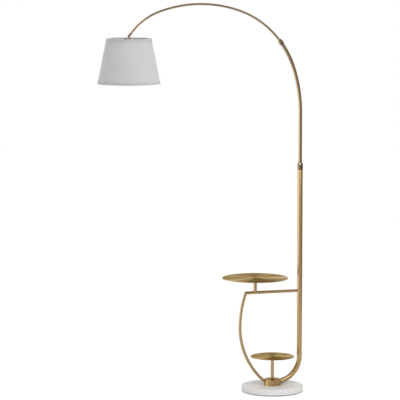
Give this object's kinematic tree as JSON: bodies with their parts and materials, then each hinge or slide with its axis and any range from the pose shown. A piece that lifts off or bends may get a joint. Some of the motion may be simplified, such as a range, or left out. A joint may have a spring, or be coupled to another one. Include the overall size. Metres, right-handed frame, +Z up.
{
  "type": "floor lamp with table",
  "caption": "Arched telescoping floor lamp with a tapered drum shade, a round stone foot and small round tables built into its frame.",
  "frame": {"origin": "middle of the foot's underside, on the floor", "axes": "+Z up; the lamp's own plane is XZ, with the pole on the +X side and the shade hanging on the -X side; +Y to the back"},
  "size_m": [0.9607, 0.3, 1.7729],
  "materials": {
    "foam_pad": "matt closed-cell foam",
    "white_marble": "honed white marble",
    "zinc_steel": "bright zinc plate",
    "black_rubber": "moulded",
    "brushed_brass": "satin, brushed along the tube",
    "tray_brass": "satin, brushed in circles",
    "aged_brass": "darker antique satin",
    "socket_brass": "bare",
    "cable_jacket": "extruded",
    "white_nylon": "moulded",
    "dark_phenolic": "moulded",
    "white_wire": "powder coat",
    "white_plastic": "moulded",
    "opal_glass": "opal diffuser",
    "white_linen": "plain weave on a stiff liner",
    "linen_tape": "plain weave tape"
  },
  "bodies": {
    "root": {"base_pad": "foam_pad", "marble_base": "white_marble", "base_nut": "zinc_steel", "base_washer": "zinc_steel", "tie_rod": "zinc_steel", "cord_gland": "black_rubber", "hub": "brushed_brass", "lower_pole": "brushed_brass", "pole_wire": "cable_jacket", "table_strut": "brushed_brass", "table_bar": "brushed_brass", "upper_tray_stem": "brushed_brass", "upper_tray": "tray_brass", "lower_tray_stem": "brushed_brass", "lower_tray": "tray_brass", "tray_studs": "zinc_steel", "stem_inserts": "zinc_steel", "stem_screw": "zinc_steel", "height_ferrule": "white_nylon"},
    "mast_guide": {"mast_bush": "white_nylon"},
    "mast": {"mast_tube": "brushed_brass", "mast_wire": "cable_jacket", "mast_stop_rings": "zinc_steel", "reach_ferrule": "white_nylon"},
    "height_lock": {"height_collar": "aged_brass"},
    "reach_lock": {"reach_collar": "aged_brass"},
    "arch": {"arch_tube": "brushed_brass", "arch_bush": "white_nylon", "arch_wire": "cable_jacket", "knuckle_fork": "aged_brass", "knuckle_screw": "aged_brass", "knuckle_nut": "aged_brass"},
    "head": {"tilt_rod": "brushed_brass", "lampholder": "dark_phenolic", "socket_shell": "socket_brass", "socket_contact": "socket_brass", "shade_ring_nut": "dark_phenolic", "shade_fitter": "white_wire", "bulb_cap": "zinc_steel", "bulb_neck": "white_plastic", "bulb_globe": "opal_glass", "shade_shell": "white_linen", "shade_bottom_wire": "white_wire", "shade_top_trim": "linen_tape", "shade_bottom_trim": "linen_tape"}
  },
  "joints": [
    {"name": "height_slide", "type": "slide", "parent": "root", "child": "mast_guide", "axis": [0, 0, 1], "range_m": [-0.22, 0]},
    {"name": "mast_swivel", "type": "hinge", "parent": "mast_guide", "child": "mast", "pos_m": [0.1305, 0, 0.953], "axis": [0, 0, 1], "range_deg": [-90, 90]},
    {"name": "height_lock_turn", "type": "hinge", "parent": "root", "child": "height_lock", "pos_m": [0.1305, 0, 1.029], "axis": [0, 0, 1], "range_deg": [0, 180]},
    {"name": "reach_slide", "type": "hinge", "parent": "mast", "child": "arch", "pos_m": [-0.29802, 0, 1.34276], "axis": [0, 1, 0], "range_deg": [0, 11]},
    {"name": "reach_lock_turn", "type": "hinge", "parent": "mast", "child": "reach_lock", "pos_m": [0.03675, 0, 1.59139], "axis": [-0.5962, 0, 0.8028], "range_deg": [0, 180]},
    {"name": "shade_tilt", "type": "hinge", "parent": "arch", "child": "head", "pos_m": [-0.67667, 0, 1.63067], "axis": [0, 1, 0], "range_deg": [-30, 30]}
  ]
}
